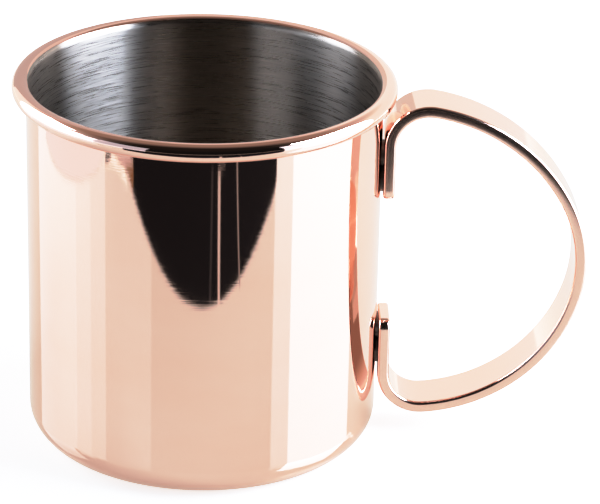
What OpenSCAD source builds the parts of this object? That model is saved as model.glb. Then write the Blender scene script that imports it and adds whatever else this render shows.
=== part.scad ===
// Drinking mug: a drawn steel cup with a rolled rim and a copper outside,
// and a handle bent from one flat strip and spot-welded to the wall.
// Millimetres. The origin is the middle of the standing ring, +Z is up,
// and the handle points along +X.

/* [Cup] */
// Height from the table to the top of the rim
cup_h = 91; // [60:1:130]
// Outside diameter of the wall
wall_d = 84.6; // [60:0.2:110]
// Outside diameter of the rolled rim
rim_d = 91.2; // [66:0.2:118]
// Outside radius of the corner between wall and bottom
corner_r = 7.5; // [3:0.5:14]
// Thickness of the drawn steel sheet
steel_t = 0.6; // [0.4:0.05:1.2]
// Thickness of the copper layer on the outside
copper_t = 0.25; // [0.1:0.05:0.5]
// How far the copper reaches down inside the rim, in degrees from the top
lip_angle = 45; // [0:5:80]
// Angle of the rim's roll that is left open at its lower end, from straight down
curl_open = 35; // [25:1:60]

/* [Bottom] */
// Inside radius of the flat ring that the mug stands on
ring_in_r = 31; // [20:0.5:33]
// How far the middle of the bottom is pressed up
dish_h = 1.2; // [0.5:0.1:3]

/* [Handle] */
// Width of the flat strip
strip_w = 13.2; // [8:0.2:20]
// Thickness of the flat strip
strip_t = 2.8; // [1.5:0.1:4]
// Gap between the flat tabs and the wall, where the welds sit
tab_gap = 0.3; // [0.1:0.05:1]
// Height of the lower end of the upper tab
tab_z = 62; // [40:0.5:90]
// Length of the upper tab's flat part
upper_tab = 13.6; // [8:0.1:25]
// Corner radius of the strip's two cut ends
end_r = 2.4; // [0.5:0.1:6]
// Length of the lower tab's flat part
lower_tab = 13.9; // [8:0.1:25]
// Radius of the tight bend above the upper tab
bend_a_r = 9.2; // [5:0.1:15]
// Angle of the tight bend above the upper tab
bend_a = 99.7; // [90:0.1:110]
// Radius of the long upper arc
bend_b_r = 44.8; // [30:0.2:80]
// Angle of the long upper arc
bend_b = 52.5; // [30:1:70]
// Radius of the outermost arc
bend_c_r = 33.9; // [25:0.1:60]
// Angle of the outermost arc
bend_c = 45.8; // [20:0.1:70]
// Radius of the long lower arc
bend_d_r = 40.1; // [25:0.1:80]
// Angle of the long lower arc
bend_d = 67.8; // [40:0.1:90]

/* [Welds] */
// Diameter of one weld spot
weld_d = 6.4; // [2:0.1:8]
// Distance between the two weld spots of a tab
weld_pitch = 6.5; // [4:0.5:12]

/* [Hidden] */
$fn = 120;
wall_r = wall_d / 2;
bend_r = wall_r - corner_r;
in_r = wall_r - copper_t - steel_t;
curl_r = (rim_d / 2 - copper_t - in_r) / 2;
curl_x = in_r + curl_r;
curl_z = cup_h - copper_t - curl_r;
k = sqrt(2) - 1;
tab_x = wall_r + tab_gap + strip_t / 2;
// centres of the bends and directions at their ends, going round from the upper tab
za = tab_z + upper_tab;
ha = 90 - bend_a;
hb = ha - bend_b;
hc = hb - bend_c;
hd = hc - bend_d;
ax = tab_x + bend_a_r;
az = za;
bx = ax - (bend_b_r - bend_a_r) * cos(ha + 90);
bz = az - (bend_b_r - bend_a_r) * sin(ha + 90);
cx = bx - (bend_c_r - bend_b_r) * cos(hb + 90);
cz = bz - (bend_c_r - bend_b_r) * sin(hb + 90);
dx = cx - (bend_d_r - bend_c_r) * cos(hc + 90);
dz = cz - (bend_d_r - bend_c_r) * sin(hc + 90);
px = dx + bend_d_r * cos(hd + 90);
bend_e_r = round((px - tab_x) / (1 - sin(hd)) * 1000) / 1000;
ex = dx - (bend_e_r - bend_d_r) * cos(hd + 90);
ez = dz - (bend_e_r - bend_d_r) * sin(hd + 90);
low_x = ex - bend_e_r - strip_t / 2;

// The half outline of the whole cup, taken in by o from its outer surface
module cup_fill(o) {
  difference() {
    union() {
      translate([0, corner_r]) square([wall_r - o, curl_z - corner_r]);
      translate([0, o]) square([bend_r, corner_r]);
      translate([bend_r, corner_r]) circle(r = corner_r - o);
    }
    polygon([[-1, -1], [ring_in_r + k * o, -1], [ring_in_r + k * o, o],
             [ring_in_r - dish_h + k * o, dish_h + o], [-1, dish_h + o]]);
    translate([-100, -1]) square([100, cup_h + 10]);
  }
}

module steel_cup() {
  color("silver")
  rotate_extrude() {
    difference() {
      cup_fill(copper_t);
      cup_fill(copper_t + steel_t);
      translate([0, curl_z - 0.5]) square([in_r, 1]);
    }
    difference() {
      translate([curl_x, curl_z]) circle(r = curl_r);
      translate([curl_x, curl_z]) circle(r = curl_r - steel_t);
      polygon([[curl_x, curl_z], [in_r - 2, curl_z],
               [in_r - 2, curl_z - 6],
               [curl_x - 6 * tan(curl_open), curl_z - 6]]);
    }
  }
}

module copper_layer() {
  color("peru")
  rotate_extrude()
  difference() {
    union() {
      cup_fill(0);
      translate([curl_x, curl_z]) circle(r = curl_r + copper_t);
    }
    cup_fill(copper_t);
    translate([curl_x, curl_z]) circle(r = curl_r);
    polygon([[curl_x, curl_z], [curl_x - 4 * tan(lip_angle), curl_z + 4],
             [in_r - 4, curl_z + 4], [in_r - 4, curl_z - 1.8],
             [in_r + steel_t, curl_z - 1.8]]);
  }
}

// A shift made in two steps, whole millimetres first
module place(x, z) {
  translate([floor(x), floor(z)]) translate([x - floor(x), z - floor(z)]) children();
}

// The point at a radius and direction from a bend's centre
function at(x, z, r, dir) = [x + r * cos(dir), z + r * sin(dir)];

// One bend of the strip, seen from the side, between two directions from its centre
module bend(x, z, r, from, to) {
  mid = (from + to) / 2;
  far = (r + 2 * strip_t) / cos((from - to) / 2);
  intersection() {
    difference() {
      place(x, z) circle(r = r + strip_t / 2);
      place(x, z) circle(r = r - strip_t / 2);
    }
    polygon([at(x, z, r - strip_t, from), at(x, z, r + strip_t, from),
             at(x, z, far, mid),
             at(x, z, r + strip_t, to), at(x, z, r - strip_t, to)]);
  }
}

// What a round corner takes off the strip's end: a square corner less a quarter disc
module corner_cut(y, z, sy, sz) {
  translate([tab_x - 5, y, z])
  rotate([90, 0, 90])
  linear_extrude(height = 10)
  difference() {
    translate([sy > 0 ? 0 : -end_r - 1, sz > 0 ? 0 : -end_r - 1])
      square([end_r + 1, end_r + 1]);
    circle(r = end_r);
  }
}

module handle_strip() {
  side = strip_w / 2 - end_r;
  top = ez + lower_tab - end_r;
  color("peru")
  difference() {
    rotate([90, 0, 0])
    linear_extrude(height = strip_w, center = true) {
      translate([tab_x - strip_t / 2, tab_z]) square([strip_t, upper_tab]);
      bend(ax, az, bend_a_r, 180, ha + 90);
      bend(bx, bz, bend_b_r, ha + 90, hb + 90);
      bend(cx, cz, bend_c_r, hb + 90, hc + 90);
      bend(dx, dz, bend_d_r, hc + 90, hd + 90);
      bend(ex, ez, bend_e_r, hd + 90, -180);
      place(low_x, 0) translate([0, ez]) square([strip_t, lower_tab]);
    }
    corner_cut(side, tab_z + end_r, 1, -1);
    corner_cut(-side, tab_z + end_r, -1, -1);
    corner_cut(side, top, 1, 1);
    corner_cut(-side, top, -1, 1);
  }
}

module weld(z) {
  difference() {
    translate([wall_r - 1, 0, z]) rotate([0, 90, 0])
      cylinder(d = weld_d, h = 1 + tab_gap, $fn = 240);
    cylinder(r = wall_r, h = cup_h, $fn = 1440);
  }
}

module upper_welds() {
  color("silver") {
    weld(tab_z + upper_tab / 2 - weld_pitch / 2);
    weld(tab_z + upper_tab / 2 + weld_pitch / 2);
  }
}

module lower_welds() {
  color("silver") {
    weld(ez + lower_tab / 2 - weld_pitch / 2);
    weld(ez + lower_tab / 2 + weld_pitch / 2);
  }
}

steel_cup();
copper_layer();
handle_strip();
upper_welds();
lower_welds();
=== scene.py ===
# %% [markdown]
# # A copper mug with a bent strip handle
# The real mug is a cup drawn from stainless steel sheet, with its rim rolled over,
# a polished copper outside, and a handle bent from one flat strip and spot-welded
# to the wall. The frame gives every size; this lesson turns the same sections into
# smooth, fine surfaces and gives each one its finish.

# %% Load the frame
import math
import bpy
import bmesh
from mathutils import Matrix, Vector


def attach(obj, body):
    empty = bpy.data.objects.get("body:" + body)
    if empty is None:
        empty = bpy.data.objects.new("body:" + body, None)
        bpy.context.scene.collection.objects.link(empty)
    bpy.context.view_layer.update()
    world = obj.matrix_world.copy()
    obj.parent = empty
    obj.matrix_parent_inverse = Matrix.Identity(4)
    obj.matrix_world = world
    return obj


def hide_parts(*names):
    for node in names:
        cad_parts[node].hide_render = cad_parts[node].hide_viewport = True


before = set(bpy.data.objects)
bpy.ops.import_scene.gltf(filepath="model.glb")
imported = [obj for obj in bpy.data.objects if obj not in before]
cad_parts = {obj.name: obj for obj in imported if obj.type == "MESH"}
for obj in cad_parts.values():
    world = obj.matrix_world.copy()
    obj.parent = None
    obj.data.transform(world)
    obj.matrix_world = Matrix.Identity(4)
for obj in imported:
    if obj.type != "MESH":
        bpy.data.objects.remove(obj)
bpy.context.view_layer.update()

MM = 0.001

# %% [markdown]
# ## The view
# A long lens, a little above the rim and in front of the mug, with the handle to
# the right. The camera comes first because every choice below is judged through it.

# %% Camera
TURN, ELEVATION, ROLL = -0.026, math.radians(23.68), math.radians(1.312)
EYE = Vector((23.291, -705.925, 355.743))
around = Matrix.Rotation(TURN, 4, "Z")
tilt = Matrix.Rotation(math.pi / 2 - ELEVATION, 4, "X") @ Matrix.Rotation(ROLL, 4, "Z")
lens = bpy.data.cameras.new("long_lens")
lens.lens, lens.sensor_width = 191.53, 36
lens.clip_start, lens.clip_end = 0.02, 20
camera = bpy.data.objects.new("camera", lens)
bpy.context.scene.collection.objects.link(camera)
camera.matrix_world = around @ Matrix.Translation(EYE * MM) @ tilt
bpy.context.scene.camera = camera
print("camera at", [round(v, 3) for v in camera.matrix_world.translation], "lens", lens.lens)

# %% [markdown]
# ## Drawing a section
# Both the cup and its copper are turned shapes: one section, spun round the axis.
# The section is drawn the way it is dimensioned in a workshop, as straight runs
# with a radius at each corner. Every straight run gets two extra points close to
# its ends, so that the soft shading of a corner never spreads along the run.

# %% Section helpers
HOLD = 0.12  # how close to the end of a straight run its extra point stands, in mm


def arc(cx, cz, r, start, end, step=6.0):
    """Points on an arc, in degrees from +X, both ends included."""
    n = max(2, math.ceil(abs(end - start) / step))
    angles = [math.radians(start + (end - start) * i / n) for i in range(n + 1)]
    return [(cx + r * math.cos(a), cz + r * math.sin(a)) for a in angles]


def rounded_corner(before, corner, after, r, step=6.0):
    """The fillet of radius r between two straight runs."""
    p, a, b = Vector(corner), Vector(before), Vector(after)
    u, v = (a - p).normalized(), (b - p).normalized()
    half = u.angle(v) / 2
    centre = p + (u + v).normalized() * (r / math.sin(half))
    first, last = p + u * (r / math.tan(half)), p + v * (r / math.tan(half))
    a0 = math.atan2(first.y - centre.y, first.x - centre.x)
    a1 = math.atan2(last.y - centre.y, last.x - centre.x)
    sweep = (a1 - a0 + math.pi) % (2 * math.pi) - math.pi
    return arc(centre.x, centre.y, r, math.degrees(a0), math.degrees(a0 + sweep), step)


def section(corners):
    """A run of (x, z, radius) corners as points."""
    made = [corners[0][:2]]
    for i in range(1, len(corners) - 1):
        x, z, r = corners[i]
        if r:
            made += rounded_corner(corners[i - 1][:2], (x, z), corners[i + 1][:2], r)
        else:
            made.append((x, z))
    made.append(corners[-1][:2])
    return made


def held(points, reach=1.0):
    """The same points with two more near the ends of each long straight run."""
    made = [points[0]]
    for p, q in zip(points, points[1:]):
        run = math.dist(p, q)
        if run > reach:
            for t in (HOLD / run, 0.5, 1 - HOLD / run):
                made.append((p[0] + (q[0] - p[0]) * t, p[1] + (q[1] - p[1]) * t))
        made.append(q)
    return made


# %% [markdown]
# ## Section of the steel cup
# The cup is drawn from one sheet 0.6 mm thick. The middle of its bottom is pressed
# up a little, so that the mug stands on a flat ring and does not rock, and its rim
# is rolled outwards into a hollow curl. Going round both faces of the sheet gives
# one closed outline, from the axis to the axis again.

# %% Steel section
STEEL, COPPER = 0.6, 0.25
WALL_R, CORNER_R = 42.3, 7.5
IN_R = WALL_R - COPPER - STEEL
STEEL_R = WALL_R - COPPER
CURL_X, CURL_Z, CURL_R = 43.4, 88.8, 1.95
RING_R, DISH = 31.0, 1.2
SLOPE_SHIFT = math.sqrt(2) - 1  # how far the foot of a 45 degree slope moves for each mm of offset
PRESS_R = 0.8


def bottom(offset, radius):
    """The pressed bottom and the corner of one face, offset inwards from the outside."""
    step = SLOPE_SHIFT * offset
    return [
        (0, DISH + offset, 0),
        (RING_R - DISH + step, DISH + offset, radius),
        (RING_R + step, offset, radius),
        (WALL_R - offset, offset, CORNER_R - offset),
    ]


steel_inside = section(bottom(COPPER + STEEL, PRESS_R) + [(IN_R, CURL_Z, 0)])
steel_outside = section(bottom(COPPER, PRESS_R) + [(STEEL_R, CURL_Z, 0)])
curl_out = arc(CURL_X, CURL_Z, CURL_R, 180, -125, 7.5)
curl_in = arc(CURL_X, CURL_Z, CURL_R - STEEL, -125, 180, 7.5)
steel_section = held(steel_inside[:-1] + curl_out + curl_in + steel_outside[:-1][::-1])
print("steel section:", len(steel_section), "points")

# %% [markdown]
# ## Section of the copper
# The copper covers the whole outside: the bottom, the wall, the outside of the curl
# and a little of its inner side, where it ends in a thin line against the steel.

# %% Copper section
LIP_END = 135.0  # the angle round the curl where the copper stops
THIN_LIP = 0.17  # the copper's thickness just before it stops
BEAD_DROP, CURL_DROP = 1.905, 1.407  # how far below the curl's middle the wall's two faces end
bead = arc(CURL_X, CURL_Z, CURL_R + COPPER, -120, LIP_END - 1.5, 5)
bead_back = arc(CURL_X, CURL_Z, CURL_R, LIP_END, -133.8, 7.5)
copper_outside = section(bottom(0, PRESS_R) + [(WALL_R, CURL_Z - BEAD_DROP, 0)])
copper_inside = section(bottom(COPPER, PRESS_R) + [(STEEL_R, CURL_Z - CURL_DROP, 0)])
lip = [
    (CURL_X + (CURL_R + THIN_LIP) * math.cos(math.radians(LIP_END)),
     CURL_Z + (CURL_R + THIN_LIP) * math.sin(math.radians(LIP_END)))
]
copper_section = held(
    copper_outside[:-1] + bead + lip + bead_back + copper_inside[:-1][::-1]
)
print("copper section:", len(copper_section), "points")

# %% [markdown]
# ## A lathe made of nodes
# The Geometry Nodes tree below takes a section drawn in the XZ plane and turns it
# round the Z axis. It lays out a grid with one row for each point of the section
# and one column for each division of the turn, moves every grid point to its place,
# and welds the seam and the two ends that lie on the axis. A Screw modifier would
# also turn a section, but here the number of divisions and the weld are named
# inputs that can be changed on the finished modifier.

# %% Node helpers


def new_tree(name, inputs):
    """An empty geometry tree with a geometry input, more named inputs and an output."""
    tree = bpy.data.node_groups.new(name, "GeometryNodeTree")
    face = tree.interface
    face.new_socket("Geometry", in_out="INPUT", socket_type="NodeSocketGeometry")
    for label, kind, default in inputs:
        socket = face.new_socket(label, in_out="INPUT", socket_type="NodeSocket" + kind)
        if default is not None:
            socket.default_value = default
    face.new_socket("Geometry", in_out="OUTPUT", socket_type="NodeSocketGeometry")
    return tree


def add(tree, kind, links=None, **settings):
    """A node with its settings and with values or links put on its inputs."""
    node = tree.nodes.new(kind)
    for key, value in settings.items():
        setattr(node, key, value)
    for key, value in (links or {}).items():
        if isinstance(value, bpy.types.NodeSocket):
            tree.links.new(value, node.inputs[key])
        else:
            node.inputs[key].default_value = value
    return node


def math_of(tree, operation, a, b=0.0):
    """The result of one Math node."""
    return add(tree, "ShaderNodeMath", {0: a, 1: b}, operation=operation).outputs[0]


def set_input(modifier, label, value):
    """Sets a modifier's input by its socket's identifier."""
    for item in modifier.node_group.interface.items_tree:
        if item.in_out == "INPUT" and item.name == label:
            modifier[item.identifier] = value
            return
    raise KeyError(label)


# %% The lathe
lathe = new_tree("lathe", [
    ("Divisions", "Int", 384),
    ("Weld within", "Float", 2e-6),
    ("Finish", "Material", None),
])
entry = add(lathe, "NodeGroupInput")
size = add(lathe, "GeometryNodeAttributeDomainSize", {"Geometry": entry.outputs["Geometry"]})
columns = math_of(lathe, "ADD", entry.outputs["Divisions"], 1)
grid = add(lathe, "GeometryNodeMeshGrid", {
    "Vertices X": size.outputs["Point Count"],
    "Vertices Y": columns,
})
number = add(lathe, "GeometryNodeInputIndex").outputs[0]
middle_of_cell = math_of(lathe, "ADD", number, 0.5)
row = math_of(lathe, "FLOOR", math_of(lathe, "DIVIDE", middle_of_cell, columns))
column = math_of(lathe, "SUBTRACT", number, math_of(lathe, "MULTIPLY", row, columns))
share_of_turn = math_of(lathe, "DIVIDE", column, entry.outputs["Divisions"])
angle = math_of(lathe, "MULTIPLY", share_of_turn, math.tau)
point = add(lathe, "GeometryNodeSampleIndex", {
    "Geometry": entry.outputs["Geometry"],
    "Value": add(lathe, "GeometryNodeInputPosition").outputs[0],
    "Index": row,
}, data_type="FLOAT_VECTOR", domain="POINT")
turned_point = add(lathe, "ShaderNodeVectorRotate", {
    "Vector": point.outputs[0], "Angle": angle,
}, rotation_type="Z_AXIS")
charted = add(lathe, "GeometryNodeStoreNamedAttribute", {
    "Geometry": grid.outputs["Mesh"], "Name": "UVMap", "Value": grid.outputs["UV Map"],
}, data_type="FLOAT2", domain="CORNER")
placed = add(lathe, "GeometryNodeSetPosition", {
    "Geometry": charted.outputs[0], "Position": turned_point.outputs[0],
})
welded = add(lathe, "GeometryNodeMergeByDistance", {
    "Geometry": placed.outputs[0], "Distance": entry.outputs["Weld within"],
})
real = add(lathe, "GeometryNodeRealizeInstances", {"Geometry": welded.outputs[0]})
painted = add(lathe, "GeometryNodeSetMaterial", {
    "Geometry": real.outputs[0], "Material": entry.outputs["Finish"],
})
add(lathe, "NodeGroupOutput", {"Geometry": painted.outputs[0]})
print("lathe tree:", len(lathe.nodes), "nodes")

# %% [markdown]
# ## From a modifier to a plain mesh
# The modifier's result is taken as a mesh of its own and the modifier goes away.
# The faces of a closed shell are then turned outwards, the few real creases are
# marked sharp, and the volume is measured, because a wrong section shows there.

# %% Making plain pieces


def wire(name, points):
    """A chain of points in the XZ plane, given in mm, as a mesh."""
    mesh = bpy.data.meshes.new(name)
    verts = [(x * MM, 0, z * MM) for x, z in points]
    mesh.from_pydata(verts, [(i, i + 1) for i in range(len(verts) - 1)], [])
    return mesh


def finished(name, mesh, tree, inputs, crease=32):
    """Runs a tree on a mesh and returns the result as a plain object."""
    rough = bpy.data.objects.new(name + "_rough", mesh)
    bpy.context.scene.collection.objects.link(rough)
    modifier = rough.modifiers.new("shape", "NODES")
    modifier.node_group = tree
    for label, value in inputs.items():
        set_input(modifier, label, value)
    ready = rough.evaluated_get(bpy.context.evaluated_depsgraph_get())
    made = bpy.data.meshes.new_from_object(ready)
    bpy.data.objects.remove(rough)
    made.name = name
    if made.materials[0] is None:  # a generated grid brings an empty slot with it
        made.materials.pop(index=0)
    form = bmesh.new()
    form.from_mesh(made)
    bmesh.ops.dissolve_degenerate(form, dist=1e-7, edges=form.edges)
    bmesh.ops.recalc_face_normals(form, faces=form.faces)
    volume = form.calc_volume(signed=True)
    if volume < 0:
        bmesh.ops.reverse_faces(form, faces=form.faces)
    loose = sum(1 for e in form.edges if not e.is_manifold)
    form.to_mesh(made)
    form.free()
    made.shade_smooth()
    made.set_sharp_from_angle(angle=math.radians(crease))
    piece = bpy.data.objects.new(name, made)
    bpy.context.scene.collection.objects.link(piece)
    triangles = sum(len(p.vertices) - 2 for p in made.polygons)
    print(f"{name}: {triangles} triangles, {abs(volume) * 1e9:.0f} mm3, {loose} open edges")
    return piece


# %% [markdown]
# ## Metal finishes
# Copper is a warm metal whose colour is its reflection, so its colour, its
# roughness and the fine lines left by the polishing wheel are all there is to it.
# The wheel runs round the mug: the lines are long round the wall and fine up it.

# %% Material helpers


def new_finish(name):
    """A material with a Principled shader, and its tree."""
    finish = bpy.data.materials.new(name)
    finish.use_nodes = True
    tree = finish.node_tree
    return finish, tree, tree.nodes["Principled BSDF"]


def stretched_noise(tree, coords, scale, detail=2.0, rough=0.5):
    """Noise on coordinates that are scaled by different amounts along each axis."""
    mapped = add(tree, "ShaderNodeMapping", {"Vector": coords, "Scale": scale})
    noise = add(tree, "ShaderNodeTexNoise", {
        "Vector": mapped.outputs[0], "Scale": 1.0, "Detail": detail, "Roughness": rough,
    })
    return noise.outputs[0]


def ranged(tree, value, low, high, start=0.3, end=0.7):
    """A value between start and end spread over another range."""
    return add(tree, "ShaderNodeMapRange", {
        "Value": value, "From Min": start, "From Max": end, "To Min": low, "To Max": high,
    }).outputs[0]


# %% Polished copper
COPPER_LIGHT = (0.955, 0.665, 0.57, 1)
COPPER_DEEP = (0.945, 0.645, 0.545, 1)
CUT_BLEND = 0.0003  # metres over which a cut edge starts


def copper(name, line_scale, rough, depth, cut_from=None, cut_extra=0.0):
    """Copper with soft changes of tone and fine lines left by the wheel.

    Further across than cut_from, the cut edge of a strip, it is duller by cut_extra."""
    finish, tree, metal = new_finish(name)
    place = add(tree, "ShaderNodeTexCoord").outputs["Object"]
    tone = stretched_noise(tree, place, (25, 25, 60), 3)
    tint = add(tree, "ShaderNodeMix", {
        "Factor": ranged(tree, tone, 0, 1), 6: COPPER_LIGHT, 7: COPPER_DEEP,
    }, data_type="RGBA")
    tree.links.new(tint.outputs[2], metal.inputs["Base Color"])
    metal.inputs["Metallic"].default_value = 1.0
    lines = stretched_noise(tree, place, line_scale, 3, 0.6)
    dullness = ranged(tree, lines, *rough)
    if cut_from:
        parts = add(tree, "ShaderNodeSeparateXYZ", {"Vector": place})
        across = math_of(tree, "ABSOLUTE", parts.outputs["Y"])
        extra = ranged(tree, across, 0.0, cut_extra, cut_from, cut_from + CUT_BLEND)
        dullness = math_of(tree, "ADD", dullness, extra)
    tree.links.new(dullness, metal.inputs["Roughness"])
    bump = add(tree, "ShaderNodeBump", {"Height": lines, "Strength": 0.5, "Distance": depth})
    tree.links.new(bump.outputs[0], metal.inputs["Normal"])
    return finish


wall_finish = copper("wheel_polished_copper", (30, 30, 2600), (0.03, 0.05), 5.5e-6)
handle_finish = copper("strip_copper", (40, 1500, 40), (0.05, 0.09), 3e-6, 0.0061, 0.1)
print("copper finishes:", wall_finish.name, "and", handle_finish.name)

# %% [markdown]
# ## Brushed steel
# The inside of the real cup is brushed while it turns, which leaves fine grooves in
# rings. Such grooves smear every light up and down the wall, so a tall pale band
# stands opposite each soft panel. One stretched noise gives the grooves their colour,
# roughness and depth, and the shader's own anisotropy does the smearing, because
# grooves fine enough to do it by themselves would need a far finer mesh.

# %% Brushed steel
steel_finish, tree, metal = new_finish("ring_brushed_steel")
place = add(tree, "ShaderNodeTexCoord").outputs["Object"]
fine = stretched_noise(tree, place, (110, 110, 3400), 3, 0.65)
broad = stretched_noise(tree, place, (10, 10, 1100), 3, 0.6)
grooves = math_of(
    tree, "ADD", math_of(tree, "MULTIPLY", fine, 0.8), math_of(tree, "MULTIPLY", broad, 0.2)
)
tint = add(tree, "ShaderNodeMix", {
    "Factor": ranged(tree, grooves, 0, 1), 6: (0.33, 0.29, 0.255, 1), 7: (0.6, 0.53, 0.475, 1),
}, data_type="RGBA")
tree.links.new(tint.outputs[2], metal.inputs["Base Color"])
metal.inputs["Metallic"].default_value = 1.0
metal.inputs["Anisotropic"].default_value = 1.0
up_the_wall = add(tree, "ShaderNodeTangent", direction_type="UV_MAP", uv_map="UVMap")
tree.links.new(up_the_wall.outputs[0], metal.inputs["Tangent"])
tree.links.new(ranged(tree, grooves, 0.24, 0.34), metal.inputs["Roughness"])
bump = add(tree, "ShaderNodeBump", {"Height": grooves, "Strength": 1.0, "Distance": 1.3e-5})
tree.links.new(bump.outputs[0], metal.inputs["Normal"])
print("steel finish:", steel_finish.name)

# %% [markdown]
# ## Weld metal
# A spot weld is a small cast button of metal, dull and a little heat-stained. Four of
# them hide in the gap between the strip and the wall, so a fine grain is enough.

# %% Weld metal
weld_finish, tree, metal = new_finish("spot_weld_metal")
place = add(tree, "ShaderNodeTexCoord").outputs["Object"]
grain = stretched_noise(tree, place, (900, 900, 900), 3)
tint = add(tree, "ShaderNodeMix", {
    "Factor": ranged(tree, grain, 0, 1), 6: (0.42, 0.36, 0.33, 1), 7: (0.26, 0.22, 0.2, 1),
}, data_type="RGBA")
tree.links.new(tint.outputs[2], metal.inputs["Base Color"])
metal.inputs["Metallic"].default_value = 1.0
tree.links.new(ranged(tree, grain, 0.35, 0.6), metal.inputs["Roughness"])
print("weld finish:", weld_finish.name)

# %% [markdown]
# ## Turning the cup
# The steel and the copper are turned by the same lathe, each from its own section and
# with its own finish. With 384 divisions, one division of the rim is about 0.75 mm
# long, so its outline stays round from close by.

# %% Steel cup and copper layer
steel_cup = finished("steel_cup_sheet", wire("steel_section", steel_section), lathe,
                     {"Divisions": 384, "Finish": steel_finish})
copper_layer = finished("copper_outside", wire("copper_section", copper_section), lathe,
                        {"Divisions": 384, "Finish": wall_finish})

# %% [markdown]
# ## The handle
# The handle is one flat strip, 13.2 mm wide and 2.8 mm thick, with its long edges
# rounded and its end corners rounded further, then bent over five formers. It is
# made here in the same order: first the flat blank, then the bending. A profile swept
# along a curve would be shorter to write, but it could not round the ends.

# %% The centre line
BENDS = [  # middle X and Z, radius, first and last angle
    (53.2, 75.6, 9.2, 180.0, 80.3),
    (47.2018, 40.509, 44.8, 80.3, 27.8),
    (56.8437, 45.5926, 33.9, 27.8, -18.0),
    (50.9472, 47.5085, 40.1, -18.0, -85.8),
    (53.2095, 16.7014, 9.21, -85.8, -180.0),
]
TAB_X, UPPER_END, LOWER_END = 44.0, 62.0, 30.6014
FINEST = 0.4  # the length of one straight piece of a bend, in mm
centre_line = [(TAB_X, UPPER_END)]
for cx, cz, r, start, end in BENDS:
    points = arc(cx, cz, r, start, end, math.degrees(FINEST / r))
    centre_line += points if len(centre_line) == 1 else points[1:]
centre_line.append((TAB_X, LOWER_END))
LENGTH = sum(math.dist(p, q) for p, q in zip(centre_line, centre_line[1:]))
print("strip length in mm:", round(LENGTH, 2))

# %% The ring of points round the strip
HALF_W, HALF_T, EDGE_R, END_R = 6.6, 1.4, 0.75, 2.4
ACROSS = [-0.985, -0.5, 0.0, 0.5, 0.985]
END_STEPS, STATION_GAP = 12, 0.5


def edge_levels(n=6):
    """Height over the strip's middle and inset from its outline, round one edge."""
    flat, made = HALF_T - EDGE_R, []
    for i in range(n + 1):
        a = math.pi / 2 * (1 - i / n)
        made.append((flat + EDGE_R * math.sin(a), EDGE_R * (1 - math.cos(a))))
    return made + [(-h, inset) for h, inset in made[::-1]]


def strip_stations():
    """Where the rings stand: round the first end, along the middle, round the last end."""
    ends = [math.pi / 2 * i / END_STEPS for i in range(END_STEPS + 1)]
    body = max(2, round((LENGTH - 2 * END_R) / STATION_GAP))
    middle = [("mid", i / body) for i in range(1, body)]
    return [("low", a) for a in ends] + middle + [("high", a) for a in ends[::-1]]


def at_station(kind, value, inset):
    """How far along the strip a point stands, and how far from its middle line."""
    if kind == "mid":
        return END_R + (LENGTH - 2 * END_R) * value, HALF_W - inset
    r = END_R - inset
    along = END_R - r * math.cos(value)
    return (along if kind == "low" else LENGTH - along), HALF_W - END_R + r * math.sin(value)


def strip_ring(kind, value, levels):
    """One closed ring of points: an edge, a flat side, the other edge, the other side."""
    ring = []
    for side in (1, -1):
        order = levels if side > 0 else levels[::-1]
        for h, inset in order:
            along, out = at_station(kind, value, inset)
            ring.append((along, side * out, h))
        h, inset = order[-1]
        along, out = at_station(kind, value, inset)
        ring += [(along, -side * out * t, h) for t in ACROSS]
    return ring


# %% The flat blank
def strip_end(ring, n, verts):
    """The faces that close one end between its two edges of n points each."""
    m = len(ACROSS)
    first, second = ring[:n], ring[n + m:2 * n + m][::-1]
    over, under = ring[2 * n + m:][::-1], ring[n:n + m]
    columns = [first]
    for top, foot, t in zip(over, under, ACROSS):
        column = [top]
        for p, q in zip(first[1:-1], second[1:-1]):
            column.append(len(verts))
            verts.append(tuple(Vector(verts[p]).lerp(Vector(verts[q]), (1 + t) / 2)))
        columns.append(column + [foot])
    columns.append(second)
    faces = []
    for left, right in zip(columns, columns[1:]):
        faces += [(left[i], left[i + 1], right[i + 1], right[i]) for i in range(n - 1)]
    return faces


def strip_blank():
    """The flat strip along X, with its middle plane at z = 0."""
    levels = edge_levels()
    verts, faces, rings = [], [], []
    for kind, value in strip_stations():
        ring = strip_ring(kind, value, levels)
        rings.append([len(verts) + i for i in range(len(ring))])
        verts += ring
    for a, b in zip(rings, rings[1:]):
        n = len(a)
        faces += [(a[i], a[(i + 1) % n], b[(i + 1) % n], b[i]) for i in range(n)]
    faces += strip_end(rings[0], len(levels), verts)
    faces += [face[::-1] for face in strip_end(rings[-1], len(levels), verts)]
    mesh = bpy.data.meshes.new("strip_blank")
    mesh.from_pydata([tuple(c * MM for c in v) for v in verts], [], faces)
    return mesh


blank = strip_blank()
print("blank:", len(blank.vertices), "points,", len(blank.polygons), "faces")

# %% [markdown]
# ## Bending it
# The tree reads each point of the blank as a length along the strip, a place across
# it and a height over its middle. It looks up the centre line at that length, and
# puts the point back at the same place across and the same height, measured square
# to the line. The centre line comes in as an object of its own. A Curve modifier
# would bend the strip too, but it may twist it at a tight bend, and here the strip
# must stay square to the XZ plane, as it does when it is bent over a former.

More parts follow.
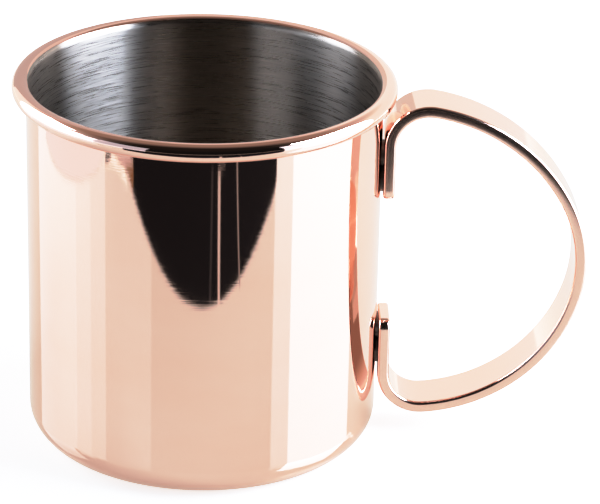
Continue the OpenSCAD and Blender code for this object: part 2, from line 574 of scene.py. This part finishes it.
# %% The bending tree
bending = new_tree("bending", [
    ("Centre line", "Object", None),
    ("Finish", "Material", None),
])
entry = add(bending, "NodeGroupInput")
line = add(bending, "GeometryNodeObjectInfo", {"Object": entry.outputs["Centre line"]})
path = add(bending, "GeometryNodeMeshToCurve", {"Mesh": line.outputs["Geometry"]})
on_blank = add(bending, "GeometryNodeInputPosition").outputs[0]
spot = add(bending, "ShaderNodeSeparateXYZ", {"Vector": on_blank})
found = add(bending, "GeometryNodeSampleCurve", {
    "Curves": path.outputs[0], "Length": spot.outputs["X"],
}, mode="LENGTH", use_all_curves=True)
square = add(bending, "ShaderNodeVectorMath", {
    0: (0.0, 1.0, 0.0), 1: found.outputs["Tangent"],
}, operation="CROSS_PRODUCT")
square = add(bending, "ShaderNodeVectorMath", {0: square.outputs[0]}, operation="NORMALIZE")
rise = add(bending, "ShaderNodeVectorMath", {
    0: square.outputs[0], "Scale": spot.outputs["Z"],
}, operation="SCALE")
aside = add(bending, "ShaderNodeCombineXYZ", {"Y": spot.outputs["Y"]})
moved = add(bending, "ShaderNodeVectorMath", {
    0: found.outputs["Position"], 1: rise.outputs[0],
}, operation="ADD")
moved = add(bending, "ShaderNodeVectorMath", {
    0: moved.outputs[0], 1: aside.outputs[0],
}, operation="ADD")
bent = add(bending, "GeometryNodeSetPosition", {
    "Geometry": entry.outputs["Geometry"], "Position": moved.outputs[0],
})
real = add(bending, "GeometryNodeRealizeInstances", {"Geometry": bent.outputs[0]})
painted = add(bending, "GeometryNodeSetMaterial", {
    "Geometry": real.outputs[0], "Material": entry.outputs["Finish"],
})
add(bending, "NodeGroupOutput", {"Geometry": painted.outputs[0]})
print("bending tree:", len(bending.nodes), "nodes")

# %% The bent strip
line_object = bpy.data.objects.new("centre_line", wire("centre_line", centre_line))
bpy.context.scene.collection.objects.link(line_object)
handle = finished("handle_strip_bent", blank, bending,
                  {"Centre line": line_object, "Finish": handle_finish})
bpy.data.objects.remove(line_object)
print("handle box in mm:", [[round(v / MM, 2) for v in handle.bound_box[i]] for i in (0, 6)])

# %% [markdown]
# ## Joining the frame
# Each piece rides on the one body of the model and stands for its node of the
# frame. The four weld spots keep their own solids and only get their finish.

# %% Ride and replace
for piece, node, slot in (
    (steel_cup, "steel_cup", "brushed_steel_inside"),
    (copper_layer, "copper_layer", "polished_copper"),
    (handle, "handle_strip", "polished_copper"),
):
    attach(piece, "root")
    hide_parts(node)
for name in ("upper_welds", "lower_welds"):
    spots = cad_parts[name]
    spots.data.materials.clear()
    spots.data.materials.append(weld_finish)
print("replaced:", [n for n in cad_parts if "welds" not in n])

# %% [markdown]
# ## Stage helpers
# Polished metal shows its surroundings, so the studio is built for the metal: cards
# on and over the table, which only mirror rays see, and tall soft panels round it.
# Each card is one flat face that either stays matt or glows by itself.

# %% Stage helpers
WHITE = (1, 1, 1, 1)
NEARLY_BLACK = (0.02, 0.02, 0.02, 1)


def plain(name, colour, glow=None):
    """A matt stage material, which also glows if it gets a glow colour and strength."""
    made, tree, shader = new_finish(name)
    shader.inputs["Base Color"].default_value = colour
    shader.inputs["Roughness"].default_value = 1.0
    shader.inputs["Specular IOR Level"].default_value = 0.0
    if glow:
        shader.inputs["Emission Color"].default_value = glow[0]
        shader.inputs["Emission Strength"].default_value = glow[1]
    return made


def card(name, corners, material):
    """A flat stage card from its corners in mm."""
    mesh = bpy.data.meshes.new(name)
    verts = [tuple(c * MM for c in p) for p in corners]
    mesh.from_pydata(verts, [], [tuple(range(len(corners)))])
    mesh.materials.append(material)
    made = bpy.data.objects.new(name, mesh)
    bpy.context.scene.collection.objects.link(made)
    return made


def only_in_reflections(thing):
    """Hides a stage piece from the camera and from everything but mirror rays."""
    thing.visible_camera = False
    thing.visible_diffuse = False
    thing.visible_shadow = False
    thing.visible_transmission = False


def glowing_card(name, corners, colour, strength):
    """A card that glows evenly and shows only in reflections."""
    only_in_reflections(card(name, corners, plain(name, NEARLY_BLACK, (colour, strength))))


# %% [markdown]
# ## Floor
# The floor is made twice. The one in view is plain and pale and glows a little, so
# that the mug stands in white. The one that the metal reflects lies just over it: it
# is darker, a little warm and smooth, so that it carries the soft panels' own
# reflections, as a real lacquered table does.

# %% Floor
FLOOR_HALF, SHEEN_HEIGHT = 3000, 0.02


def floor_corners(height):
    """The corners of a square floor at a height."""
    r = FLOOR_HALF
    return [(-r, -r, height), (r, -r, height), (r, r, height), (-r, r, height)]


floor_look = plain("pale_floor", (0.9, 0.9, 0.9, 1), (WHITE, 0.6))
floor = card("floor", floor_corners(0), floor_look)
floor.visible_glossy = False

sheen_look, tree, shader = new_finish("floor_in_reflections")
shader.inputs["Base Color"].default_value = (0.265, 0.265, 0.242, 1)
shader.inputs["Emission Color"].default_value = (1.0, 0.985, 0.92, 1)
shader.inputs["Emission Strength"].default_value = 0.5
shader.inputs["Roughness"].default_value = 0.04
shader.inputs["IOR"].default_value = 1.5
sheen = card("floor_in_reflections", floor_corners(SHEEN_HEIGHT), sheen_look)
only_in_reflections(sheen)
print("floor side in m:", 2 * FLOOR_HALF * MM)

# %% [markdown]
# ## Black card in front
# The dark arch on the wall is a black card that starts in front of the mug, with a
# slightly curved edge, and runs on towards the viewer. Four thin glowing strips lie on
# it, seen only in reflections: they paint the fine pale upright lines within the arch.

# %% Black card in front
CARD_HEIGHT, STRIP_HEIGHT = 0.3, 0.6
NEAR_EDGE = [
    (0, -151), (30, -153), (58, -158), (82, -162), (104, -165), (126, -167), (149, -168), (161, -172),
]
SIDE, FAR = math.radians(47), 1400
corner_x, corner_y = NEAR_EDGE[-1]
far_corner = (corner_x + FAR * math.sin(SIDE), corner_y - FAR * math.cos(SIDE))
right_half = NEAR_EDGE[1:] + [far_corner]
outline = [(-x, y) for x, y in right_half[::-1]] + [(0, -151)] + right_half
black = plain("black_card", (0.012, 0.011, 0.011, 1))
front_card = card("front_card", [(x, y, CARD_HEIGHT) for x, y in outline], black)
only_in_reflections(front_card)
print("black card:", len(outline), "corners")

# %% Glowing strips on the black card, painted reflection lines
STRIPS = (  # name, near end, far end, half width at each, glow
    ("tape_one", (24, -151), (38.5, -243), 1.7, 3.2, 0.72),
    ("tape_two", (57.5, -152), (84, -240), 0.9, 1.8, 0.42),
    ("tape_three", (11, -151.5), (22, -248), 1.5, 2.6, 0.035),
    ("tape_four", (41, -243), (56, -249), 1.6, 1.6, 0.3),
)
# each strip glows and shows only in reflections: it paints a pale line into the arch
for name, near_end, far_end, near, far, glow in STRIPS:
    start, end = Vector((*near_end, STRIP_HEIGHT)), Vector((*far_end, STRIP_HEIGHT))
    along = (end - start).normalized()
    square = Vector((-along.y, along.x, 0))
    corners = [start - square * near, start + square * near, end + square * far, end - square * far]
    glowing_card(name, corners, (1, 0.96, 0.93, 1), glow)
print("strips:", len(STRIPS))

# %% [markdown]
# ## Glowing cards at the left, painted reflections
# At the left of the arch, the wall shows a few small patches: a wide pale one up at
# the side, and narrow white, pink and amber ones where it meets the black. Each is
# painted by one small card on the table, which glows in its colour or stays dark,
# and shows only in reflections. Painting them on the copper would be quicker, but then
# they would stay in place when the mug is seen from elsewhere.

# %% Glowing cards at the left, painted reflection patches
PATCH_HEIGHT = 0.45
REFLECTION_PATCHES = (  # name, colour, glow, corners
    ("pale_paper", (0.97, 0.99, 1.06, 1), 1.12, [
        (-214, 92), (-212, 57), (-215, -12), (-213, -68),
        (-211, -96), (-213, -116), (-330, -150), (-330, 110),
    ]),
    ("dark_paper", WHITE, 0.0, [(-209, -120), (-214, -126), (-208, -138), (-203, -137)]),
    ("white_paper", WHITE, 1.5, [
        (-213, -96), (-202, -140), (-196, -149), (-175, -162), (-160, -163), (-182, -153), (-199, -138),
    ]),
    ("pink_paper", (1, 0.86, 0.84, 1), 0.66, [
        (-203, -147), (-197, -147), (-183, -157), (-162, -182), (-168, -188),
    ]),
    ("amber_paper", (1, 0.6, 0.28, 1), 0.3, [
        (-178, -164), (-163, -169), (-151, -168), (-149, -171), (-161, -183),
    ]),
)
# each card glows in its colour, or stays dark, and paints a patch into the wall's reflection
for name, colour, glow, corners in REFLECTION_PATCHES:
    glowing_card(name, [(x, y, PATCH_HEIGHT) for x, y in corners], colour, glow)
print("reflection_patches:", len(REFLECTION_PATCHES))

# %% [markdown]
# ## Soft panels
# Tall cool-white panels stand on both sides of the mug. Their lower halves show in
# the table and so on the wall, as broad upright bands that fade step by step to the
# left. The brushed inside smears them upwards and downwards, so the brighter upper
# halves make the pale bands there: the right panels light the left side of the
# inside, and the left panels the right side.

# %% Soft panels
PANEL_DISTANCE, PANEL_COLOUR = 600, (0.85, 1.0, 1.22)
PANELS = (  # name, first and last angle from the front, lower and upper edge, brightness
    ("left_panel", -130, -88, 0, 330, 3.1),
    ("left_upper_panel", -130, -92, 330, 620, 5.0),
    ("left_middle_panel", -88, -75, 0, 400, 2.55),
    ("left_inner_panel", -75, -63.5, 0, 360, 1.9),
    ("left_edge_panel", -63.5, -32, 0, 420, 0.75),
    ("right_panel", 57.5, 110, 0, 330, 7.0),
    ("right_upper_panel", 57.5, 110, 330, 660, 19.0),
    ("right_edge_panel", 45, 57.5, 0, 420, 1.9),
)


def panel(name, first, last, low, high, radiance):
    """A soft panel that faces the mug and fills the angles from first to last."""
    turn = math.radians((first + last) / 2)
    width = 2 * PANEL_DISTANCE * math.tan(math.radians((last - first) / 2)) * MM
    height = (high - low) * MM
    light = bpy.data.lights.new(name, "AREA")
    light.shape = "RECTANGLE"
    light.size, light.size_y = width, height
    light.energy = radiance * math.pi * width * height
    light.color = PANEL_COLOUR
    made = bpy.data.objects.new(name, light)
    made.location = Vector((math.sin(turn), -math.cos(turn), 0)) * PANEL_DISTANCE * MM
    made.location.z = (low + high) / 2 * MM
    made.rotation_euler = (math.pi / 2, 0, turn)
    made.visible_camera = False
    bpy.context.scene.collection.objects.link(made)


for row in PANELS:
    panel(*row)
print("panels:", len(PANELS))

# %% [markdown]
# ## Dim glowing cards behind the rim
# The rolled rim is so strongly curved that its back half mirrors the room behind the
# mug. Two small cards stand there that glow dimly and show only in reflections; they
# paint a soft middle tone on the rim and the top of the handle, between the white of
# the room and the dark of the arch.

# %% Dim glowing cards behind the rim, a painted reflection
BACK_Y, BACK_LOW, BACK_HIGH = 80, 85, 190
BACK_CARDS = (("back_card_left", -95, -12, 0.62), ("back_card_right", -12, 33, 0.8))
for name, left, right, glow in BACK_CARDS:
    corners = [
        (left, BACK_Y, BACK_LOW), (right, BACK_Y, BACK_LOW),
        (right, BACK_Y, BACK_HIGH), (left, BACK_Y, BACK_HIGH),
    ]
    # each card glows dimly and paints a grey reflection on the rim and the handle's top
    glowing_card(name, corners, (1, 0.97, 0.95, 1), glow)
print("cards behind the rim:", len(BACK_CARDS))

# %% [markdown]
# ## The room
# The room is bright behind the mug and dark on the viewer's side, and its ceiling is
# dimmer and a little warm. The view itself sees an even white behind the mug. It is a
# background made of directions, and needs no walls.

# %% Room
BACK, TOP = 1.15, 0.4


def between(tree, low, high, share):
    """A value that goes from low to high as share goes from 0 to 1."""
    rest = math_of(tree, "SUBTRACT", 1.0, share)
    return math_of(
        tree, "ADD", math_of(tree, "MULTIPLY", low, rest), math_of(tree, "MULTIPLY", high, share)
    )


world = bpy.data.worlds.new("room")
bpy.context.scene.world = world
world.use_nodes = True
tree = world.node_tree
ground = tree.nodes["Background"]
way = add(tree, "ShaderNodeTexCoord").outputs["Generated"]
part = add(tree, "ShaderNodeSeparateXYZ", {"Vector": way})
back = ranged(tree, part.outputs["Y"], 0.012, BACK, -0.5, 0.15)
above = ranged(tree, part.outputs["Y"], 0.025, TOP, -0.3, 0.2)
top = ranged(tree, part.outputs["Z"], 0.0, 1.0, 0.45, 0.8)
seen = add(tree, "ShaderNodeLightPath").outputs["Is Camera Ray"]
level = between(tree, between(tree, back, above, top), 1.0, seen)
tree.links.new(level, ground.inputs["Strength"])
warmth = add(tree, "ShaderNodeMix", {
    "Factor": top, 6: WHITE, 7: (1, 0.82, 0.72, 1),
}, data_type="RGBA")
tree.links.new(warmth.outputs[2], ground.inputs["Color"])
print("room:", len(tree.nodes), "nodes")

# %% [markdown]
# ## The tone curve
# Polished copper in a white studio runs from near black to far past white. The curve
# deepens the darks and lets the brightest tones approach white slowly, so that the
# pale bands keep their colour.

# %% Tone curve
TOP_LIGHT = 1.6
TONES = (  # light, and how bright it is shown
    (0.165, 0.1), (0.3, 0.215), (0.47, 0.37), (0.58, 0.515),
    (0.7, 0.675), (0.855, 0.82), (1.0, 0.9), (1.27, 0.97),
)
view_settings = bpy.context.scene.view_settings
view_settings.view_transform = "Standard"
view_settings.look = "None"
view_settings.use_curve_mapping = True
curves = view_settings.curve_mapping
curves.white_level = (TOP_LIGHT, TOP_LIGHT, TOP_LIGHT)
tone_curve = curves.curves[3]
tone_curve.points[0].location = (0, 0)
tone_curve.points[1].location = (1, 1)
for light, shown in TONES:
    tone_curve.points.new(light / TOP_LIGHT, shown)
curves.update()
print("view transform", view_settings.view_transform, "with", len(TONES), "tones")

# %% The end
bpy.context.view_layer.update()
